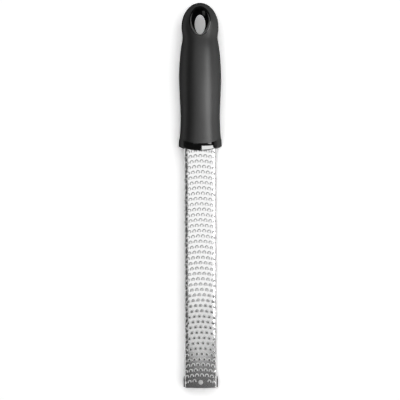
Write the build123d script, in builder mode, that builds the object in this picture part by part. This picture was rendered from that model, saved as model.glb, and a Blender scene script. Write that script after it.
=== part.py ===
from build123d import *
import os
from math import asin, cos, degrees, radians, sin, sqrt

os.makedirs("parts", exist_ok=True)

# Rasp zester lying teeth up on a table. Millimetres, +Z up, +Y from the blade's tip to the
# handle, origin on the table under the middle of the length and width.

# Overall sizes
overall_length = 324
tip_y = -overall_length / 2
handle_end_y = tip_y + overall_length
handle_length = 126
handle_width = 35.6
handle_height = 28.8
overrun = 2

# Blade: one sheet of stainless steel, a crowned face between two turned-down flanges
grip_overhang = 4.2
blade_width = handle_width - 2 * grip_overhang
blade_depth = 12.5
sheet = 0.4
crown_radius = 50
shoulder_radius = 2.4
foot_drop = 4.5
blade_top = foot_drop + blade_depth
blade_half = blade_width / 2

# Tang: the strip of the face that runs on inside the handle
heel_length = 10
heel_depth = 8.5
tang_share = 0.46
tang_length = tang_share * handle_length
tang_width = 16
tang_hole_radius = 2.1
tang_hole_shares = (0.3, 0.75)

# Teeth: tongues that rise out of arched windows, in bowed and staggered rows
row_pitch = 4.5
tooth_pitch = 4.2
row_bow_radius = 40
stagger_shares = (-0.25, 0.25, 0, 0.5)
last_row_inset = 5.4
window_width = 3.2
window_length = 2.5
tongue_gap = 0.32
tongue_lift = 0.45
tongue_seat = 0.5
tongue_skin = 0.05
tooth_margin = 0.2

# Handle: stations of its oval section, as shares of its length, width and height, and the
# fullness of its lower corners; the upper half is rounder
station_shares = (
    (0.000, 1.000, 0.045, 0.770, 0.76),
    (0.055, 1.004, 0.041, 0.843, 0.75),
    (0.075, 1.000, 0.040, 0.851, 0.74),
    (0.140, 0.960, 0.045, 0.860, 0.72),
    (0.240, 0.934, 0.042, 0.875, 0.68),
    (0.380, 0.970, 0.015, 0.935, 0.64),
    (0.500, 1.000, 0.001, 0.990, 0.62),
    (0.620, 0.966, 0.040, 1.000, 0.60),
    (0.700, 0.905, 0.140, 0.975, 0.60),
    (0.740, 0.856, 0.205, 0.945, 0.60),
    (0.770, 0.829, 0.250, 0.925, 0.60),
    (0.800, 0.858, 0.280, 0.910, 0.60),
    (0.840, 0.876, 0.292, 0.898, 0.60),
)
top_fullness = 0.56
station_count = 28
cap_count = 9
cap_turn = 10.8

# Front collar: a bowed ring between the grip and the bare blade
collar_setback = 1.7
collar_width = 5.7
grip_bow_radius = 41.5
collar_step = 0.35
collar_round = 0.9
peg_radius = 1.4
peg_length = 6
peg_rise_share = 0.36
peg_clearance = 0.1

# Grip and core: a soft sleeve over two rigid halves
sleeve_wall = 2
core_wall = 2.4
mould_gap = 0.1
slot_clearance = 0.1
rib = 2.2
spine_width = 9
bay_shares = (0.19, 0.34, 0.49, 0.64)
boss_clearance = 0.1

# Hanging eye: an egg-shaped bowl from each face down to a narrow throat
eye_inset = 16.2
eye_half_width = 9.05
eye_half_length = 12.65
eye_lip = 0.35
eye_lip_sink = 0.15
throat_half_width = 4.45
throat_half_length = 8.05
throat_shift = 1.9
throat_depth = 0.6
bowl_waist_share = 0.9
bowl_waist_height_share = 0.5

# End foot: a bridge inside the channel, a soft pad outside each flange and one rivet
foot_length = 7.4
foot_plate = 2.6
foot_leg = 3.6
foot_clearance = 0.1
pad_tab = 0.9
pad_tab_height = 13.2
pad_round = 0.35
stud_radius = 1
stud_length = 2.6
rivet_inset = 4.9
rivet_head_radius = 2
rivet_head_height = 0.6
rivet_shank_radius = 1.2
rivet_clearance = 0.1
rivet_tail_radius = 1.9
rivet_tail_height = 0.5
rivet_boss_wall = 0.4
rivet_boss_drop = 1.2

# Derived places
handle_front_y = handle_end_y - handle_length
collar_front_y = handle_front_y + collar_setback
collar_bow_radius = grip_bow_radius + collar_width
bow_axis_y = collar_front_y + collar_bow_radius
grip_front_y = bow_axis_y - grip_bow_radius
eye_y = handle_end_y - eye_inset
heel_y = grip_front_y + heel_length
tang_end_y = heel_y + tang_length
heel_low_z = blade_top - heel_depth
heel_step_y = bow_axis_y - sqrt(grip_bow_radius**2 - blade_half**2) - slot_clearance
last_row_y = tip_y + last_row_inset
row_count = int((collar_front_y - last_row_y) / row_pitch) + 1
tooth_reach_count = int(blade_half / tooth_pitch) + 1
rivet_y = tip_y + rivet_inset
parting_z = blade_top + slot_clearance
bowl_half_width = eye_half_width - eye_lip
bowl_half_length = eye_half_length - eye_lip
bowl_rise = handle_height - parting_z
collar_top_z = station_shares[0][3] * handle_height
peg_x = blade_half / 2
peg_high_z = parting_z + peg_rise_share * (collar_top_z - parting_z)
peg_low_z = foot_drop + blade_depth / 2
peg_places = ((-peg_x, peg_high_z), (peg_x, peg_high_z), (0, peg_low_z))
boss_length = 2 * tang_hole_radius
leg_inner_x = blade_half - sheet - foot_clearance - foot_leg
pad_outer_x = blade_half + pad_tab
stud_x = blade_half - sheet - foot_clearance - foot_leg / 2
plate_low_z = blade_top - sheet - foot_plate
tail_z = plate_low_z - rivet_boss_drop
rivet_dome_radius = (rivet_head_radius**2 + rivet_head_height**2) / (2 * rivet_head_height)
rivet_keepout = rivet_head_radius + window_length
crown_half = crown_radius * (blade_half - shoulder_radius) / (crown_radius - shoulder_radius)
head_share = station_shares[-1]
head_y = handle_front_y + head_share[0] * handle_length
foot_mid_y = tip_y + foot_length / 2


def across(y):
    """Plane square to the length at y, with its normal towards the tip."""
    return Plane.XZ.offset(-y)


def oval(half_width, low, high, fullness):
    """Closed oval of four curves that meet square to the axes; fullness swells its lower corners."""
    middle = (high + low) / 2
    rise = (high - low) / 2
    lean = half_width * fullness
    reach = rise * fullness
    top_lean = half_width * top_fullness
    top_reach = rise * top_fullness
    with BuildSketch() as section:
        with BuildLine():
            Bezier((half_width, middle), (half_width, middle + top_reach), (top_lean, high), (0, high))
            Bezier((0, high), (-top_lean, high), (-half_width, middle + top_reach), (-half_width, middle))
            Bezier((-half_width, middle), (-half_width, middle - reach), (-lean, low), (0, low))
            Bezier((0, low), (lean, low), (half_width, middle - reach), (half_width, middle))
        make_face()
    return section.sketch


def slope_shares(index):
    """How fast each column of the station table changes at a row, for a smooth blend."""
    before = station_shares[max(index - 1, 0)]
    after = station_shares[min(index + 1, len(station_shares) - 1)]
    return [(late - soon) / (after[0] - before[0]) for soon, late in zip(before[1:], after[1:])]


def station(along_share):
    """Width, low, high and fullness shares of the handle at a share of its length."""
    index = max(i for i, row in enumerate(station_shares[:-1]) if row[0] <= along_share)
    start, end = station_shares[index], station_shares[index + 1]
    span = end[0] - start[0]
    t = (along_share - start[0]) / span
    blend = 3 * t**2 - 2 * t**3
    columns = zip(start[1:], end[1:], slope_shares(index), slope_shares(index + 1))
    return [
        (1 - blend) * first + blend * last + span * (t * (1 - t) ** 2 * rise + t**2 * (t - 1) * fall)
        for first, last, rise, fall in columns
    ]


def handle_form(inset):
    """The handle's whole outer form, drawn in all round by an inset."""
    head_half = head_share[1] * handle_width / 2 - inset
    head_low = head_share[2] * handle_height + inset
    head_high = head_share[3] * handle_height - inset
    head_middle = (head_low + head_high) / 2
    head_rise = (head_high - head_low) / 2
    cap_length = handle_end_y - head_y - inset
    with BuildPart() as form:
        for index in range(station_count):
            along = head_share[0] * index / station_count
            wide, low, high, fullness = station(along)
            with BuildSketch(across(handle_front_y + along * handle_length)):
                add(oval(
                    wide * handle_width / 2 - inset,
                    low * handle_height + inset,
                    high * handle_height - inset,
                    fullness,
                ))
        for index in range(cap_count):
            turn = radians(cap_turn * index)
            with BuildSketch(across(head_y + sin(turn) * cap_length)):
                add(oval(
                    cos(turn) * head_half,
                    head_middle - cos(turn) * head_rise,
                    head_middle + cos(turn) * head_rise,
                    head_share[4],
                ))
        loft()
    return form.part


def channel_face(inset, floor_z):
    """Filled outline of the blade's channel, drawn in by an inset, down to a floor height."""
    half = blade_half - inset
    crown = crown_radius - inset
    shoulder = shoulder_radius - inset
    top = blade_top - inset
    spread = degrees(asin((half - shoulder) / (crown - shoulder)))
    shoulder_z = top - crown + (crown - shoulder) * cos(radians(spread))
    with BuildSketch() as section:
        with BuildLine():
            Line((-half, floor_z), (half, floor_z))
            Line((half, floor_z), (half, shoulder_z))
            CenterArc((half - shoulder, shoulder_z), shoulder, 0, 90 - spread)
            CenterArc((0, top - crown), crown, 90 - spread, 2 * spread)
            CenterArc((shoulder - half, shoulder_z), shoulder, 90 + spread, 90 - spread)
            Line((-half, shoulder_z), (-half, floor_z))
        make_face()
    return section.sketch


def channel_ring(gap):
    """Section of the sheet with a gap on both of its sides."""
    with BuildSketch() as ring:
        add(channel_face(-gap, foot_drop - gap))
        add(channel_face(sheet + gap, foot_drop - overrun), mode=Mode.SUBTRACT)
    return ring.sketch


def ahead_of_bow(radius):
    """All that lies on the tip side of a face bowed towards the tip, as seen from above."""
    with BuildPart() as waste:
        with BuildSketch(Plane.XY.offset(-overrun)):
            with Locations((0, bow_axis_y)):
                Rectangle(2 * handle_width, handle_length, align=(Align.CENTER, Align.MAX))
                Circle(radius, mode=Mode.SUBTRACT)
        extrude(amount=handle_height + 2 * overrun)
    return waste.part


def crown_z(x):
    """Height of the blade's crowned face at a distance from its middle line."""
    return blade_top - crown_radius + sqrt(crown_radius**2 - x**2)


def arch(width, length):
    """Plan of a window or tongue: straight at the tip side, a half circle towards the handle."""
    with BuildSketch() as plan:
        with BuildLine():
            Polyline((-width / 2, length - width / 2), (-width / 2, 0), (width / 2, 0),
                     (width / 2, length - width / 2))
            ThreePointArc((width / 2, length - width / 2), (0, length),
                          (-width / 2, length - width / 2))
        make_face()
    return plan.sketch


def tooth_planes():
    """A plane on the blade's face for every tooth: x across, y towards the handle, z outwards."""
    planes = []
    for row in range(row_count):
        stagger = stagger_shares[row % len(stagger_shares)]
        for place in range(-tooth_reach_count, tooth_reach_count + 1):
            x = (place + stagger) * tooth_pitch
            bowed = row_bow_radius - sqrt(row_bow_radius**2 - x**2)
            y = last_row_y + row * row_pitch - bowed
            crest_y = y + window_length
            collar_y = bow_axis_y - sqrt(collar_bow_radius**2 - x**2)
            near_rivet = sqrt(x**2 + (y + window_length / 2 - rivet_y) ** 2) < rivet_keepout
            under_collar = crest_y > collar_y - tooth_margin
            if abs(x) + window_width / 2 > crown_half or near_rivet or under_collar:
                continue
            roll = asin(x / crown_radius)
            planes.append(Plane(
                origin=(x, y, crown_z(x)),
                x_dir=(cos(roll), 0, -sin(roll)),
                z_dir=(sin(roll), 0, cos(roll)),
            ))
    return planes


def eye_column(half_width, half_length):
    """Upright oval column through the handle at the hanging eye."""
    with BuildPart() as column:
        with BuildSketch(Plane.XY.offset(-overrun)):
            with Locations((0, eye_y)):
                Ellipse(half_width, half_length)
        extrude(amount=handle_height + 2 * overrun)
    return column.part


# Blade
tang_hole_places = [heel_y + share * tang_length for share in tang_hole_shares]
windows_at = tooth_planes()
print(f"{len(windows_at)} teeth")

with BuildPart() as tooth:
    with BuildSketch(Plane.XY.offset(-sheet)):
        with Locations((0, -tongue_seat)):
            add(arch(window_width - 2 * tongue_gap, window_length + tongue_seat - tongue_gap))
    extrude(amount=sheet + tongue_lift + overrun)
    with BuildSketch(Plane.YZ.offset(-window_width / 2)):
        reach = window_length - tongue_gap
        with BuildLine():
            Polyline(
                (-tongue_seat, tongue_skin - sheet),
                (0, tongue_skin - sheet),
                (reach, tongue_lift - tongue_skin),
                (reach - sheet, tongue_lift),
                (0, -tongue_skin),
                (-tongue_seat, -tongue_skin),
                close=True,
            )
        make_face()
    extrude(amount=window_width, mode=Mode.INTERSECT)

with BuildPart() as window:
    with BuildSketch(Plane.XY.offset(-sheet - overrun / 2)):
        add(arch(window_width, window_length))
    extrude(amount=sheet + overrun)

with BuildPart() as blade:
    with BuildSketch(across(tang_end_y)):
        add(channel_ring(0))
    extrude(amount=tang_end_y - tip_y)
    # The flanges stop at the heel and only the middle of the face runs on
    with BuildSketch(Plane.XY.offset(foot_drop - overrun)):
        for side in (-1, 1):
            with Locations((side * (tang_width + blade_width) / 2, (heel_y + tang_end_y) / 2)):
                Rectangle(blade_width, tang_length)
    extrude(amount=blade_depth + 2 * overrun, mode=Mode.SUBTRACT)
    with BuildSketch(Plane.XY.offset(heel_low_z)):
        with Locations((0, heel_step_y)):
            Rectangle(blade_width + overrun, tang_length, align=(Align.CENTER, Align.MIN))
    extrude(amount=-blade_depth, mode=Mode.SUBTRACT)
    with Locations(*[(0, y, blade_top) for y in tang_hole_places]):
        Cylinder(tang_hole_radius, blade_depth, mode=Mode.SUBTRACT)
    with Locations((0, rivet_y, blade_top)):
        Cylinder(rivet_shank_radius + rivet_clearance, blade_depth / 2, mode=Mode.SUBTRACT)
    with Locations(*windows_at):
        add(window.part, mode=Mode.SUBTRACT)
    with Locations(*windows_at):
        add(tooth.part)
blade.part.label = "blade"
export_step(blade.part, "parts/blade.step")

# Front collar
with BuildPart() as front_collar:
    add(handle_form(-collar_step))
    add(ahead_of_bow(grip_bow_radius), mode=Mode.INTERSECT)
    add(ahead_of_bow(collar_bow_radius), mode=Mode.SUBTRACT)
    front_face = front_collar.faces().filter_by(GeomType.CYLINDER).sort_by(Axis.Y)[0]
    fillet(front_face.edges(), collar_round)
    with BuildSketch(across(bow_axis_y)):
        add(channel_ring(slot_clearance))
    extrude(amount=handle_length, mode=Mode.SUBTRACT)
    with BuildSketch(across(grip_front_y + peg_length)):
        with Locations(*peg_places):
            Circle(peg_radius - peg_clearance)
    extrude(amount=peg_length + collar_width / 2)
front_collar.part.label = "front_collar"
export_step(front_collar.part, "parts/front_collar.step")

# Hanging eye bowl, cut out of both halves of the core
with BuildPart() as eye_bowl:
    with BuildSketch(Plane.XY.offset(parting_z + throat_depth)):
        with Locations((0, eye_y - throat_shift)):
            Ellipse(throat_half_width, throat_half_length)
    with BuildSketch(Plane.XY.offset(parting_z + bowl_waist_height_share * bowl_rise)):
        with Locations((0, eye_y - throat_shift * (1 - bowl_waist_share))):
            Ellipse(bowl_half_width * bowl_waist_share, bowl_half_length * bowl_waist_share)
    with BuildSketch(Plane.XY.offset(parting_z + bowl_rise)):
        with Locations((0, eye_y)):
            Ellipse(bowl_half_width, bowl_half_length)
    loft()
    mirror(about=Plane.XY.offset(parting_z))
    with BuildSketch(Plane.XY.offset(parting_z)):
        with Locations((0, eye_y - throat_shift)):
            Ellipse(throat_half_width, throat_half_length)
    extrude(amount=throat_depth, both=True)

# Bays that lighten the core, on both sides of its spine
with BuildPart() as bays:
    for near_share, far_share in zip(bay_shares, bay_shares[1:]):
        near_y = handle_front_y + near_share * handle_length + rib / 2
        far_y = handle_front_y + far_share * handle_length - rib / 2
        with BuildSketch(Plane.XY):
            for side in (-1, 1):
                with Locations((side * (spine_width + handle_width) / 2, (near_y + far_y) / 2)):
                    Rectangle(handle_width, far_y - near_y)
        extrude(amount=handle_height)
    add(handle_form(sleeve_wall + mould_gap + core_wall), mode=Mode.INTERSECT)

# Core: one rigid form, split at the top of the tang into two halves
with BuildPart() as core:
    add(handle_form(eye_lip_sink))
    add(eye_column(eye_half_width - mould_gap, eye_half_length - mould_gap), mode=Mode.INTERSECT)
    add(handle_form(sleeve_wall + mould_gap))
    add(ahead_of_bow(grip_bow_radius - mould_gap), mode=Mode.SUBTRACT)
    add(eye_bowl.part, mode=Mode.SUBTRACT)
    add(bays.part, mode=Mode.SUBTRACT)

with BuildPart() as core_upper:
    add(core.part)
    split(bisect_by=Plane.XY.offset(parting_z), keep=Keep.TOP)
    with BuildSketch(Plane.XY.offset(parting_z)):
        with Locations(*[(0, y) for y in tang_hole_places]):
            Circle(tang_hole_radius - boss_clearance)
    extrude(amount=-boss_length)
    with BuildSketch(across(grip_front_y + peg_length + peg_clearance)):
        with Locations(*peg_places):
            Circle(peg_radius)
    extrude(amount=peg_length, mode=Mode.SUBTRACT)
core_upper.part.label = "core_upper"
export_step(core_upper.part, "parts/core_upper.step")

with BuildPart() as core_lower:
    add(core.part)
    split(bisect_by=Plane.XY.offset(parting_z), keep=Keep.BOTTOM)
    with BuildSketch(across(heel_y + slot_clearance)):
        with Locations((0, heel_low_z - slot_clearance)):
            Rectangle(blade_width + 2 * slot_clearance, heel_depth + 2 * slot_clearance,
                      align=(Align.CENTER, Align.MIN))
        add(channel_face(sheet + slot_clearance, foot_drop - overrun), mode=Mode.SUBTRACT)
    extrude(amount=handle_length, mode=Mode.SUBTRACT)
    with BuildSketch(across(tang_end_y + slot_clearance)):
        with Locations((0, blade_top + slot_clearance)):
            Rectangle(tang_width + 2 * slot_clearance, blade_depth, align=(Align.CENTER, Align.MAX))
        add(channel_face(sheet + slot_clearance, foot_drop - overrun), mode=Mode.SUBTRACT)
    extrude(amount=tang_length + slot_clearance, mode=Mode.SUBTRACT)
    with BuildSketch(Plane.XY.offset(parting_z)):
        with Locations(*[(0, y) for y in tang_hole_places]):
            Circle(tang_hole_radius)
    extrude(amount=-boss_length - boss_clearance, mode=Mode.SUBTRACT)
    with BuildSketch(across(grip_front_y + peg_length + peg_clearance)):
        with Locations(*peg_places):
            Circle(peg_radius)
    extrude(amount=peg_length, mode=Mode.SUBTRACT)
core_lower.part.label = "core_lower"
export_step(core_lower.part, "parts/core_lower.step")

# Grip sleeve
with BuildPart() as grip_sleeve:
    add(handle_form(0))
    add(handle_form(sleeve_wall), mode=Mode.SUBTRACT)
    add(ahead_of_bow(grip_bow_radius - mould_gap), mode=Mode.SUBTRACT)
    add(eye_column(eye_half_width, eye_half_length), mode=Mode.SUBTRACT)
grip_sleeve.part.label = "grip_sleeve"
export_step(grip_sleeve.part, "parts/grip_sleeve.step")

# Foot bridge
with BuildPart() as foot_bridge:
    with BuildSketch(across(tip_y + foot_length)):
        add(channel_face(sheet + foot_clearance, foot_drop))
        with Locations((0, foot_drop)):
            Rectangle(2 * leg_inner_x, plate_low_z - foot_drop, align=(Align.CENTER, Align.MIN),
                      mode=Mode.SUBTRACT)
    extrude(amount=foot_length)
    with BuildSketch(Plane.XY.offset(plate_low_z)):
        with Locations((0, rivet_y)):
            Circle(rivet_tail_radius + rivet_boss_wall)
    extrude(amount=-rivet_boss_drop)
    with Locations((0, rivet_y, blade_top)):
        Cylinder(rivet_shank_radius + rivet_clearance, blade_depth, mode=Mode.SUBTRACT)
    with BuildSketch(Plane.XY.offset(foot_drop)):
        with Locations((-stud_x, foot_mid_y), (stud_x, foot_mid_y)):
            Circle(stud_radius)
    extrude(amount=stud_length + peg_clearance, mode=Mode.SUBTRACT)
foot_bridge.part.label = "foot_bridge"
export_step(foot_bridge.part, "parts/foot_bridge.step")

# Foot pads
for side, name in ((-1, "foot_pad_left"), (1, "foot_pad_right")):
    with BuildPart() as foot_pad:
        with BuildSketch(across(tip_y + foot_length)):
            with BuildLine():
                Polyline(
                    (side * leg_inner_x, 0),
                    (side * pad_outer_x, 0),
                    (side * pad_outer_x, pad_tab_height),
                    (side * (blade_half + foot_clearance), pad_tab_height),
                    (side * (blade_half + foot_clearance), foot_drop),
                    (side * leg_inner_x, foot_drop),
                    close=True,
                )
            make_face()
        extrude(amount=foot_length)
        outer_face = foot_pad.faces().sort_by(Axis.X)[-1 if side > 0 else 0]
        fillet(outer_face.edges(), pad_round)
        with BuildSketch(Plane.XY.offset(foot_drop)):
            with Locations((side * stud_x, foot_mid_y)):
                Circle(stud_radius - peg_clearance)
        extrude(amount=stud_length)
    foot_pad.part.label = name
    export_step(foot_pad.part, f"parts/{name}.step")

# Foot rivet
with BuildPart() as foot_rivet:
    with BuildSketch(across(rivet_y)):
        with BuildLine():
            Polyline(
                (0, blade_top + rivet_head_height),
                (0, tail_z - rivet_tail_height),
                (rivet_tail_radius, tail_z - rivet_tail_height),
                (rivet_tail_radius, tail_z),
                (rivet_shank_radius, tail_z),
                (rivet_shank_radius, blade_top),
                (rivet_head_radius, blade_top),
            )
            RadiusArc((rivet_head_radius, blade_top), (0, blade_top + rivet_head_height), -rivet_dome_radius)
        make_face()
    revolve(axis=Axis((0, rivet_y, 0), (0, 0, 1)))
foot_rivet.part.label = "foot_rivet"
export_step(foot_rivet.part, "parts/foot_rivet.step")
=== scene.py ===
import math

import bmesh
import bpy
from mathutils import Matrix, Quaternion, Vector


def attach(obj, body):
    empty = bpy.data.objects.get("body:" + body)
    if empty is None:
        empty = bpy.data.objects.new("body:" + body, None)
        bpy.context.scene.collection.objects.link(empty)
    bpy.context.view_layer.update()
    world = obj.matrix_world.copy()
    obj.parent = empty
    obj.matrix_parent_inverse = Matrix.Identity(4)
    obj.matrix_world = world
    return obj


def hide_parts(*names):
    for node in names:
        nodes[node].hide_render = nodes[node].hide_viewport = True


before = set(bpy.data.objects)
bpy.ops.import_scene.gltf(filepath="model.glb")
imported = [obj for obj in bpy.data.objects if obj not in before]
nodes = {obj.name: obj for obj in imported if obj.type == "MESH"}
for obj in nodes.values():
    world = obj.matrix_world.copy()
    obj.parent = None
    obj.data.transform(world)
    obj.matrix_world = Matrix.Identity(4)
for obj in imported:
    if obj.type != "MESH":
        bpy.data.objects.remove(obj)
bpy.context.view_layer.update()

# The rasp zester of the photograph: black handle at the top, steel face up. The blade's sizes
# are in millimetres until its mesh is made, and the stage and lamps are in metres.
MM = 0.001

# Blade section, the same as the CAD model's
BLADE_TOP = 17.0
BLADE_HALF = 13.6
CROWN_R = 50.0
SHOULDER_R = 2.4
SHEET = 0.4
FOOT_DROP = 4.5
TIP_Y = -162.0
HEEL_Y = 53.4
HEEL_STEP_Y = 45.6
TANG_END_Y = 111.36
TANG_HALF = 8.0

# Tooth pattern on the flat sheet: u runs across, v towards the handle
TOOTH_PITCH = 4.2
HALF_CELL = TOOTH_PITCH / 2
ROW_PITCH = 4.5
CELL_STEPS = 8
GRID = TOOTH_PITCH / CELL_STEPS
ROW_COUNT = 44
FIRST_ROW_V = -156.6
ROW_BOW_R = 40.0
STAGGERS = (-0.25, 0.25, 0.0, 0.5)
TOOTH_PLACES = range(-4, 5)
TOOTH_REACH_U = 13.7
TOOTH_MIDDLE = 1.3
HALF_COLUMNS = 30
PATTERN_HALF = HALF_COLUMNS * GRID
STRIP_BELOW = 1.0
STRIP_MIDDLE = 0.5
WINDOW_HALF = 3 * GRID
ARCH_LENGTH = 2.4
ARCH_STEPS = 12
SLOT = 0.18
BEVEL = 0.5
SHEET_BEVEL = 0.12
CREASE = 0.12
CREASE_RISE = 0.08
TONGUE_SLOPE = 0.04
BEVEL_DROP = 0.16
LIP_DROP = 0.10
FADE_LENGTH = 0.35
TONGUE_COLUMNS = 4
# Places up a cell, from the strip below a tooth to the start of the next row's strip
SIDE_STEPS = (-STRIP_BELOW, -STRIP_MIDDLE, 0.0, 0.7, 1.4, 2.1, 2.8, 3.5)
RIVET_Y = -157.1
RIVET_KEEPOUT = 4.4

spread = math.asin((BLADE_HALF - SHOULDER_R) / (CROWN_R - SHOULDER_R))
CROWN_ARC = CROWN_R * spread
SHOULDER_ARC = SHOULDER_R * (math.pi / 2 - spread)
SHOULDER_Z = BLADE_TOP - CROWN_R + (CROWN_R - SHOULDER_R) * math.cos(spread)
FLAT_HALF = CROWN_ARC + SHOULDER_ARC + SHOULDER_Z - FOOT_DROP

# Columns of the flange outside the pattern; the heel's flange stops at the third
OUTER_STEPS = (PATTERN_HALF, 17.8, 19.84, 21.84, FLAT_HALF)
HEEL_REACH = 19.85


def folded(u):
    """Place on the blade's outer face at u from its middle line, and the direction outward."""
    side = 1 if u >= 0 else -1
    run = abs(u)
    if run <= CROWN_ARC:
        angle = run / CROWN_R
        x = CROWN_R * math.sin(angle)
        z = BLADE_TOP - CROWN_R + CROWN_R * math.cos(angle)
    elif run <= CROWN_ARC + SHOULDER_ARC:
        angle = spread + (run - CROWN_ARC) / SHOULDER_R
        x = BLADE_HALF - SHOULDER_R + SHOULDER_R * math.sin(angle)
        z = SHOULDER_Z + SHOULDER_R * math.cos(angle)
    else:
        angle = math.pi / 2
        x = BLADE_HALF
        z = SHOULDER_Z - (run - CROWN_ARC - SHOULDER_ARC)
    return side * x, z, side * math.sin(angle), math.cos(angle)


def bow(x):
    """How far a row falls back towards the tip at a distance from the middle line."""
    return ROW_BOW_R - math.sqrt(ROW_BOW_R ** 2 - x * x)


class Sheet:
    """Collects faces given in flat coordinates (u, v, height) and folds them into the blade."""

    def __init__(self):
        self.bm = bmesh.new()
        self.cache = {}

    def vert(self, u, v, h=0.0, bowed=1.0):
        x, z, nx, nz = folded(u)
        y = v - bowed * bow(x)
        key = (round(x + h * nx, 3), round(y, 3), round(z + h * nz, 3))
        if key not in self.cache:
            self.cache[key] = self.bm.verts.new([c * MM for c in (x + h * nx, y, z + h * nz)])
        return self.cache[key]

    def face(self, verts, etched=False):
        unique = []
        for vert in verts:
            if vert not in unique:
                unique.append(vert)
        if len(unique) > 2:
            self.bm.faces.new(unique).material_index = 1 if etched else 0


def arch_path(half, length):
    """Points of an arch from its left foot over the top to its right foot."""
    points = []
    leg = length - half
    rises = (0.0, CREASE, (leg + CREASE) / 2)
    for b in rises:
        points.append((-half, b))
    for i in range(ARCH_STEPS + 1):
        turn = math.pi * i / ARCH_STEPS
        points.append((-half * math.cos(turn), leg + half * math.sin(turn)))
    for b in reversed(rises):
        points.append((half, b))
    return points


def tongue_rise(b):
    """Height of a tongue's middle above the sheet at a distance from its base."""
    if b <= 0:
        return 0.0
    return CREASE_RISE * min(b / CREASE, 1.0) + TONGUE_SLOPE * max(b - CREASE, 0.0)


def lay_tooth(sheet, u0, v0):
    """One cell of the pattern with its slot and raised tongue; gives the strip's two edges."""
    sides = SIDE_STEPS[2:-1]
    outer = [(-HALF_CELL, b) for b in sides]
    outer += [(-HALF_CELL + i * GRID, SIDE_STEPS[-1]) for i in range(CELL_STEPS + 1)]
    outer += [(HALF_CELL, b) for b in reversed(sides)]
    window = arch_path(WINDOW_HALF, ARCH_LENGTH)
    tongue = arch_path(WINDOW_HALF - SLOT, ARCH_LENGTH - SLOT)
    crest = arch_path(WINDOW_HALF - SLOT - BEVEL, ARCH_LENGTH - SLOT - BEVEL)
    lip = arch_path(WINDOW_HALF + SHEET_BEVEL, ARCH_LENGTH + SHEET_BEVEL)

    def put(point, h=0.0):
        return sheet.vert(u0 + point[0], v0 + point[1], h)

    def fade(point):
        return min(max(point[1] / FADE_LENGTH, 0.0), 1.0)

    rings = [[put(p) for p in outer]]
    rings.append([put(p, 0.0) for p in lip])
    rings.append([put(p, -LIP_DROP * fade(p)) for p in window])
    for index, (near, far) in enumerate(zip(rings, rings[1:])):
        for i in range(len(near) - 1):
            sheet.face((near[i], far[i], far[i + 1], near[i + 1]), index == 1)

    edge = [put(p, tongue_rise(p[1]) - BEVEL_DROP * fade(p)) for p in tongue]
    mid = [put(p, tongue_rise(p[1])) for p in crest]
    for i in range(len(edge) - 1):
        sheet.face((edge[i], mid[i], mid[i + 1], edge[i + 1]), True)
    last = len(mid) - 1
    rows = []
    for i in range(last // 2):
        a, c = crest[i], crest[last - i]
        row = [mid[i]]
        for k in range(1, TONGUE_COLUMNS):
            p = (a[0] + (c[0] - a[0]) * k / TONGUE_COLUMNS, a[1])
            row.append(put(p, tongue_rise(p[1])))
        row.append(mid[last - i])
        rows.append(row)
    for low, high in zip(rows, rows[1:]):
        for k in range(TONGUE_COLUMNS):
            sheet.face((low[k], high[k], high[k + 1], low[k + 1]))
    apex = mid[last // 2]
    for k in range(TONGUE_COLUMNS):
        sheet.face((rows[-1][k], apex, rows[-1][k + 1]))

    # Strip under the tooth, whose upper edge carries the tongue's foot
    inner = -WINDOW_HALF + SLOT + BEVEL
    foot = [-HALF_CELL, -WINDOW_HALF - SHEET_BEVEL, -WINDOW_HALF, -WINDOW_HALF + SLOT, inner]
    middle = [inner - 2 * inner * k / TONGUE_COLUMNS for k in range(1, TONGUE_COLUMNS)]
    foot = foot + middle + [-x for x in reversed(foot)]
    above = [put((x, 0.0)) for x in foot]
    below = [put((-HALF_CELL + i * GRID, -STRIP_BELOW)) for i in range(CELL_STEPS + 1)]
    return above, below


def lay_rows(sheet):
    """The toothed part of the sheet, with the bare sheet beside each row."""
    for row in range(ROW_COUNT):
        v0 = FIRST_ROW_V + row * ROW_PITCH
        stagger = STAGGERS[row % len(STAGGERS)]
        centres = []
        for place in TOOTH_PLACES:
            u = (place + stagger) * TOOTH_PITCH
            x = folded(u)[0]
            near_rivet = math.hypot(x, v0 + TOOTH_MIDDLE - bow(x) - RIVET_Y) < RIVET_KEEPOUT
            if abs(u) <= TOOTH_REACH_U and not near_rivet:
                centres.append(u)
        taken = set()
        for u in centres:
            above, below = lay_tooth(sheet, u, v0)
            start = round((u - HALF_CELL) / GRID)
            taken.update(range(start, start + CELL_STEPS))
            # Strip below the tooth: two rows of faces that change from the grid to its foot
            mids = []
            for i in range(CELL_STEPS + 1):
                mids.append(sheet.vert(u - HALF_CELL + i * GRID, v0 - STRIP_MIDDLE))
            for i in range(CELL_STEPS):
                sheet.face((below[i], below[i + 1], mids[i + 1], mids[i]))
            count = len(above) - 1
            for i in range(count):
                lo = round(i * CELL_STEPS / count)
                hi = round((i + 1) * CELL_STEPS / count)
                sheet.face([above[i]] + mids[lo:hi + 1] + [above[i + 1]])
        for k in range(-HALF_COLUMNS, HALF_COLUMNS):
            if k in taken:
                continue
            for low, high in zip(SIDE_STEPS, SIDE_STEPS[1:]):
                sheet.face((
                    sheet.vert(k * GRID, v0 + low), sheet.vert((k + 1) * GRID, v0 + low),
                    sheet.vert((k + 1) * GRID, v0 + high), sheet.vert(k * GRID, v0 + high),
                ))
        for side in (-1, 1):
            for near, far in zip(OUTER_STEPS, OUTER_STEPS[1:]):
                for low, high in zip(SIDE_STEPS, SIDE_STEPS[1:]):
                    quad = [
                        sheet.vert(side * near, v0 + low), sheet.vert(side * far, v0 + low),
                        sheet.vert(side * far, v0 + high), sheet.vert(side * near, v0 + high),
                    ]
                    sheet.face(quad if side > 0 else quad[::-1])


def steps(start, end, count):
    """Evenly spaced values from start to end."""
    return [start + (end - start) * i / count for i in range(count + 1)]


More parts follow.
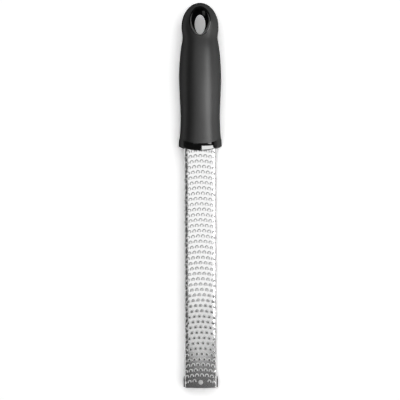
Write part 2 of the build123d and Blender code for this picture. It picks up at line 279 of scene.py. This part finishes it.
def lay_ends(sheet):
    """The bare sheet before the first row and after the last, out to the tip, heel and tang."""
    columns = [k * GRID for k in range(-HALF_COLUMNS, HALF_COLUMNS + 1)]
    columns = [-u for u in reversed(OUTER_STEPS[1:])] + columns + list(OUTER_STEPS[1:])
    first_v = FIRST_ROW_V - STRIP_BELOW
    last_v = FIRST_ROW_V + (ROW_COUNT - 1) * ROW_PITCH + SIDE_STEPS[-1]
    # Start, end, count of spans, share of the rows' bow at each end, and how far out it reaches
    stretches = (
        (TIP_Y, first_v, 4, 0, 1, FLAT_HALF),
        (last_v, HEEL_STEP_Y, 4, 1, 0, FLAT_HALF),
        (HEEL_STEP_Y, HEEL_Y, 3, 0, 0, HEEL_REACH),
        (HEEL_Y, TANG_END_Y, 12, 0, 0, TANG_HALF),
    )
    for start, end, count, bow_start, bow_end, reach in stretches:
        places = steps(start, end, count)
        bows = steps(bow_start, bow_end, count)
        for low, high, bow_low, bow_high in zip(places, places[1:], bows, bows[1:]):
            for a, b in zip(columns, columns[1:]):
                if max(abs(a), abs(b)) > reach:
                    continue
                sheet.face((
                    sheet.vert(a, low, 0, bow_low), sheet.vert(b, low, 0, bow_low),
                    sheet.vert(b, high, 0, bow_high), sheet.vert(a, high, 0, bow_high),
                ))


sheet = Sheet()
lay_rows(sheet)
lay_ends(sheet)
bm = sheet.bm
bmesh.ops.recalc_face_normals(bm, faces=bm.faces)
if sum(f.normal.z * f.calc_area() for f in bm.faces) < 0:
    bmesh.ops.reverse_faces(bm, faces=bm.faces)
mesh = bpy.data.meshes.new("blade_face")
bm.to_mesh(mesh)
bm.free()
blade = bpy.data.objects.new("blade_face", mesh)
bpy.context.scene.collection.objects.link(blade)
# One place for the bright steel and one for the etched, filled in below
mesh.materials.append(None)
mesh.materials.append(None)
thick = blade.modifiers.new("sheet", "SOLIDIFY")
thick.thickness = SHEET * MM
thick.offset = -1
thick.use_even_offset = False


def harden(obj, degrees_limit):
    """Smooth shading with hard edges wherever two faces turn by more than a limit."""
    depsgraph = bpy.context.evaluated_depsgraph_get()
    made = bpy.data.meshes.new_from_object(obj.evaluated_get(depsgraph))
    obj.modifiers.clear()
    obj.data = made
    work = bmesh.new()
    work.from_mesh(made)
    limit = math.radians(degrees_limit)
    for f in work.faces:
        f.smooth = True
    for e in work.edges:
        kinds = {f.material_index for f in e.link_faces}
        e.smooth = len(e.link_faces) == 2 and len(kinds) == 1 and e.calc_face_angle(0) < limit
    work.to_mesh(made)
    work.free()


CREASE_DEGREES = 22
harden(blade, CREASE_DEGREES)


# Part of a noise's range that the grain uses, where most of its values lie
NOISE_LOW, NOISE_HIGH = 0.3, 0.7


def principled(name, colour, roughness, metallic=0.0, specular=0.5):
    """Plain shader with its fixed values, ready for grain."""
    mat = bpy.data.materials.new(name)
    mat.use_nodes = True
    bsdf = mat.node_tree.nodes["Principled BSDF"]
    bsdf.inputs["Base Color"].default_value = (*colour, 1)
    bsdf.inputs["Roughness"].default_value = roughness
    bsdf.inputs["Metallic"].default_value = metallic
    bsdf.inputs["Specular IOR Level"].default_value = specular
    return mat


def grain(mat, scale, depth, stretch=(1, 1, 1), rough=None, tint=None, detail=4.0):
    """Fine relief in object space, with the roughness and colour that go with it."""
    tree = mat.node_tree
    bsdf = tree.nodes["Principled BSDF"]
    place = tree.nodes.new("ShaderNodeTexCoord")
    mapping = tree.nodes.new("ShaderNodeMapping")
    mapping.inputs["Scale"].default_value = stretch
    noise = tree.nodes.new("ShaderNodeTexNoise")
    noise.inputs["Scale"].default_value = scale
    noise.inputs["Detail"].default_value = detail
    tree.links.new(place.outputs["Object"], mapping.inputs["Vector"])
    tree.links.new(mapping.outputs["Vector"], noise.inputs["Vector"])
    bump = tree.nodes.new("ShaderNodeBump")
    bump.inputs["Strength"].default_value = 1.0
    bump.inputs["Distance"].default_value = depth
    tree.links.new(noise.outputs["Fac"], bump.inputs["Height"])
    old = bsdf.inputs["Normal"].links
    if old:
        tree.links.new(old[0].from_socket, bump.inputs["Normal"])
    tree.links.new(bump.outputs["Normal"], bsdf.inputs["Normal"])
    if rough:
        spread_rough = tree.nodes.new("ShaderNodeMapRange")
        spread_rough.inputs["From Min"].default_value = NOISE_LOW
        spread_rough.inputs["From Max"].default_value = NOISE_HIGH
        spread_rough.inputs["To Min"].default_value = rough[0]
        spread_rough.inputs["To Max"].default_value = rough[1]
        tree.links.new(noise.outputs["Fac"], spread_rough.inputs["Value"])
        tree.links.new(spread_rough.outputs["Result"], bsdf.inputs["Roughness"])
    if tint:
        ramp = tree.nodes.new("ShaderNodeValToRGB")
        for mark, where, shade in zip(ramp.color_ramp.elements, (NOISE_LOW, NOISE_HIGH), tint):
            mark.position = where
            mark.color = (*shade, 1)
        tree.links.new(noise.outputs["Fac"], ramp.inputs["Fac"])
        tree.links.new(ramp.outputs["Color"], bsdf.inputs["Base Color"])


def paint_light_along(mat, stops):
    """Colour that changes along the blade, from places and greys in order: painted light and shade
    along its length.
    """
    tree = mat.node_tree
    place = tree.nodes.new("ShaderNodeTexCoord")
    parts = tree.nodes.new("ShaderNodeSeparateXYZ")
    span = tree.nodes.new("ShaderNodeMapRange")
    span.inputs["From Min"].default_value = stops[0][0]
    span.inputs["From Max"].default_value = stops[-1][0]
    ramp = tree.nodes.new("ShaderNodeValToRGB")
    marks = ramp.color_ramp.elements
    while len(marks) < len(stops):
        marks.new(0.5)
    for mark, (where, value) in zip(marks, stops):
        mark.position = (where - stops[0][0]) / (stops[-1][0] - stops[0][0])
        mark.color = (value, value, value, 1)
    tree.links.new(place.outputs["Object"], parts.inputs[0])
    tree.links.new(parts.outputs["Y"], span.inputs["Value"])
    tree.links.new(span.outputs["Result"], ramp.inputs["Fac"])
    tree.links.new(ramp.outputs["Color"], tree.nodes["Principled BSDF"].inputs["Base Color"])


def rougher_edge_on(mat, near, far):
    """Roughness that climbs from one value, face on, to another where the surface turns away."""
    tree = mat.node_tree
    facing = tree.nodes.new("ShaderNodeLayerWeight")
    facing.inputs["Blend"].default_value = 0.5
    climb = tree.nodes.new("ShaderNodeMapRange")
    climb.inputs["From Min"].default_value = 0.12
    climb.inputs["From Max"].default_value = 0.5
    climb.inputs["To Min"].default_value = near
    climb.inputs["To Max"].default_value = far
    tree.links.new(facing.outputs["Facing"], climb.inputs["Value"])
    tree.links.new(climb.outputs["Result"], tree.nodes["Principled BSDF"].inputs["Roughness"])


def grey(value):
    """Colour without a hue."""
    return (value, value, value)


# Bright sheet with the fine lengthwise lines of its rolling
steel = principled("steel", grey(0.66), 0.1, metallic=1.0)
grain(
    steel, 900.0, 0.0000012, stretch=(9, 0.2, 9), rough=(0.08, 0.11), tint=(grey(0.64), grey(0.68)),
)
# Matt grey of the acid-cut bands round every tooth, with painted light and shade along the blade:
# paler towards the tip, darker towards the handle
etched = principled("etched_steel", grey(0.5), 0.5, metallic=0.05, specular=0.25)
grain(etched, 12000.0, 0.000003, rough=(0.46, 0.56))
# Painted light and shade: the bands' grey rises towards the tip and falls towards the handle
paint_light_along(etched, ((-0.15, 0.64), (-0.11, 0.58), (-0.06, 0.41), (0.04, 0.36)))
# Soft rubber, a little mottled, with a moulded grain finer than a pixel
rubber = principled("grip_rubber", grey(0.003), 0.4, specular=0.5)
grain(rubber, 220.0, 0.000004, tint=(grey(0.002), grey(0.004)))
grain(rubber, 5000.0, 0.0000025)
rougher_edge_on(rubber, 0.4, 1.0)
# Polished black moulding with the faint waviness of its cooling
gloss = principled("core_gloss", grey(0.002), 0.06, specular=0.3)
grain(gloss, 90.0, 0.000004, rough=(0.05, 0.08), detail=1.0)
collar_gloss = principled("collar_gloss", grey(0.002), 0.06, specular=0.38)
grain(collar_gloss, 90.0, 0.000004, detail=1.0)
rougher_edge_on(collar_gloss, 0.06, 0.9)
# Foot moulding and its pads
matte = principled("foot_matte", grey(0.012), 0.45)
grain(matte, 3000.0, 0.000006, rough=(0.4, 0.55), tint=(grey(0.008), grey(0.016)))
pad_rubber = principled("pad_rubber", grey(0.002), 0.8, specular=0.1)
grain(pad_rubber, 4000.0, 0.000005, rough=(0.7, 0.9), tint=(grey(0.001), grey(0.003)))
# Rivet head, tumbled dull
rivet_mat = principled("rivet_metal", grey(0.46), 0.6, specular=0.15)
grain(rivet_mat, 6000.0, 0.000004, rough=(0.55, 0.7), tint=(grey(0.43), grey(0.49)))

blade.data.materials[0] = steel
blade.data.materials[1] = etched
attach(blade, "root")
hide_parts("blade")
for name, mat in (
    ("grip_sleeve", rubber), ("front_collar", collar_gloss),
    ("core_upper", gloss), ("core_lower", gloss), ("foot_bridge", matte),
    ("foot_pad_left", pad_rubber), ("foot_pad_right", pad_rubber), ("foot_rivet", rivet_mat),
):
    for slot in nodes[name].material_slots:
        slot.material = mat
    if not nodes[name].material_slots:
        nodes[name].data.materials.append(mat)

# Floor and the wall far round it: pale paper that looks white, with the object's shadow. The
# shadow's oval keeps its shading, and the paper is plain white from WHITE_REACH times its size.
STAGE_REACH = 6.0
FLOOR_Z = -0.00005
WALL_HEIGHT = 1.1
WALL_SIDES = 96
SHADOW_X, SHADOW_Y = 0.07, 0.26
WHITE_REACH = 3.0
PAPER_GREY = 0.85
SEEN_LEVELS = (("Is Transmission Ray", 1.0), ("Is Glossy Ray", 1.0), ("Is Camera Ray", 1.3))


def stage_piece(name, verts, faces):
    """Mesh of the stage in the paper material."""
    piece_mesh = bpy.data.meshes.new(name)
    piece_mesh.from_pydata(verts, [], faces)
    piece_mesh.materials.append(paper)
    piece = bpy.data.objects.new(name, piece_mesh)
    bpy.context.scene.collection.objects.link(piece)
    return piece


paper = bpy.data.materials.new("paper")
paper.use_nodes = True
tree = paper.node_tree
tree.nodes.clear()
path = tree.nodes.new("ShaderNodeLightPath")
place = tree.nodes.new("ShaderNodeTexCoord")
away = tree.nodes.new("ShaderNodeVectorMath")
away.operation = "LENGTH"
shrink = tree.nodes.new("ShaderNodeMapping")
shrink.inputs["Scale"].default_value = (1 / SHADOW_X, 1 / SHADOW_Y, 1)
tree.links.new(place.outputs["Object"], shrink.inputs["Vector"])
tree.links.new(shrink.outputs["Vector"], away.inputs[0])
whiten = tree.nodes.new("ShaderNodeMapRange")
whiten.interpolation_type = "SMOOTHSTEP"
whiten.inputs["From Min"].default_value = 1.0
whiten.inputs["From Max"].default_value = WHITE_REACH
tree.links.new(away.outputs["Value"], whiten.inputs["Value"])
white = tree.nodes.new("ShaderNodeEmission")
shade = tree.nodes.new("ShaderNodeBsdfDiffuse")
shade.inputs["Color"].default_value = (*grey(PAPER_GREY), 1)
for ray, level in SEEN_LEVELS:
    seen = tree.nodes.new("ShaderNodeBsdfDiffuse")
    seen.inputs["Color"].default_value = (*grey(level), 1)
    far_white = tree.nodes.new("ShaderNodeMixShader")
    tree.links.new(whiten.outputs["Result"], far_white.inputs[0])
    tree.links.new(seen.outputs[0], far_white.inputs[1])
    tree.links.new(white.outputs[0], far_white.inputs[2])
    mix = tree.nodes.new("ShaderNodeMixShader")
    tree.links.new(path.outputs[ray], mix.inputs[0])
    tree.links.new(shade.outputs[0], mix.inputs[1])
    tree.links.new(far_white.outputs[0], mix.inputs[2])
    shade = mix
out = tree.nodes.new("ShaderNodeOutputMaterial")
tree.links.new(shade.outputs[0], out.inputs[0])

unit_square = ((-1, -1), (1, -1), (1, 1), (-1, 1))
corners = [(x * STAGE_REACH, y * STAGE_REACH, 0) for x, y in unit_square]
floor = stage_piece("floor", corners, [(0, 1, 2, 3)])
floor.location.z = FLOOR_Z
ring = []
for i in range(WALL_SIDES):
    turn = 2 * math.pi * i / WALL_SIDES
    x, y = STAGE_REACH * math.cos(turn), STAGE_REACH * math.sin(turn)
    ring += [(x, y, 0), (x, y, WALL_HEIGHT)]
count = len(ring)
panels = [(i, (i + 2) % count, (i + 3) % count, i + 1) for i in range(0, count, 2)]
stage_piece("wall", ring, panels)

# Light
WORLD_GREY = 0.12
world = bpy.data.worlds.new("world")
bpy.context.scene.world = world
world.use_nodes = True
back = world.node_tree.nodes["Background"]
back.inputs[0].default_value = (*grey(WORLD_GREY), 1)
back.inputs[1].default_value = 1.0


def softbox(name, centre, target, width, height, radiance, spin):
    """Rectangle lamp whose surface has a plain radiance."""
    data = bpy.data.lights.new(name, "AREA")
    data.shape = "RECTANGLE"
    data.size = width
    data.size_y = height
    data.energy = radiance * math.pi * width * height
    lamp = bpy.data.objects.new(name, data)
    lamp.location = centre
    away = (Vector(centre) - Vector(target)).normalized()
    across = Vector((0, 1, 0)).cross(away).normalized()
    along = away.cross(across)
    lamp.rotation_mode = "QUATERNION"
    lamp.rotation_quaternion = Matrix((across, along, away)).transposed().to_quaternion()
    lamp.rotation_quaternion = lamp.rotation_quaternion @ Quaternion((0, 0, 1), math.radians(spin))
    bpy.context.scene.collection.objects.link(lamp)
    return lamp


# Broad soft light overhead, whose lower edge darkens the steel's tip, and an even fill that
# matt surfaces take but gloss doesn't show
softbox("overhead", (0.03, 0.525, 1.6), (0.03, 0.525, 0.0), 1.55, 1.77, 0.88, 0)
softbox("overhead_soft_edge", (0.03, 0.585, 1.59), (0.03, 0.585, 0.0), 1.55, 1.65, 0.39, 0)
fill = softbox("fill", (0.75, 0.0, 2.0), (0.75, 0.0, 0.0), 4.5, 4.5, 0.85, 0)
fill.visible_glossy = False
softbox("side", (1.5, 0.3, 0.5), (0.0, 0.1, 0.0), 0.8, 1.5, 0.6, 0)
# Cards that only show in gloss and steel
key = softbox("key", (1.0, 0.19, 1.42), (0.0, 0.19, 0.0), 0.46, 1.0, 8.8, 0)
card = softbox("front_card", (0.73, -0.99, 1.14), (0.0, 0.04, 0.0), 1.3, 0.78, 25.0, 18)
for lamp in (key, card):
    lamp.visible_diffuse = False

# Camera straight above: its view is VIEW_WIDTH wide at the height FOCUS_Z
CAMERA_DISTANCE = 0.95
FOCUS_Z = 0.016
VIEW_WIDTH = 0.3368
SENSOR = 36
CAMERA_ROLL = -0.12
camera_data = bpy.data.cameras.new("camera")
camera = bpy.data.objects.new("camera", camera_data)
bpy.context.scene.collection.objects.link(camera)
camera.location = (-0.0003, -0.0038, FOCUS_Z + CAMERA_DISTANCE)
camera_data.sensor_width = SENSOR
camera_data.lens = SENSOR * CAMERA_DISTANCE / VIEW_WIDTH
camera.rotation_euler = (0, 0, math.radians(CAMERA_ROLL))
bpy.context.scene.camera = camera
bpy.context.scene.view_settings.view_transform = "Standard"
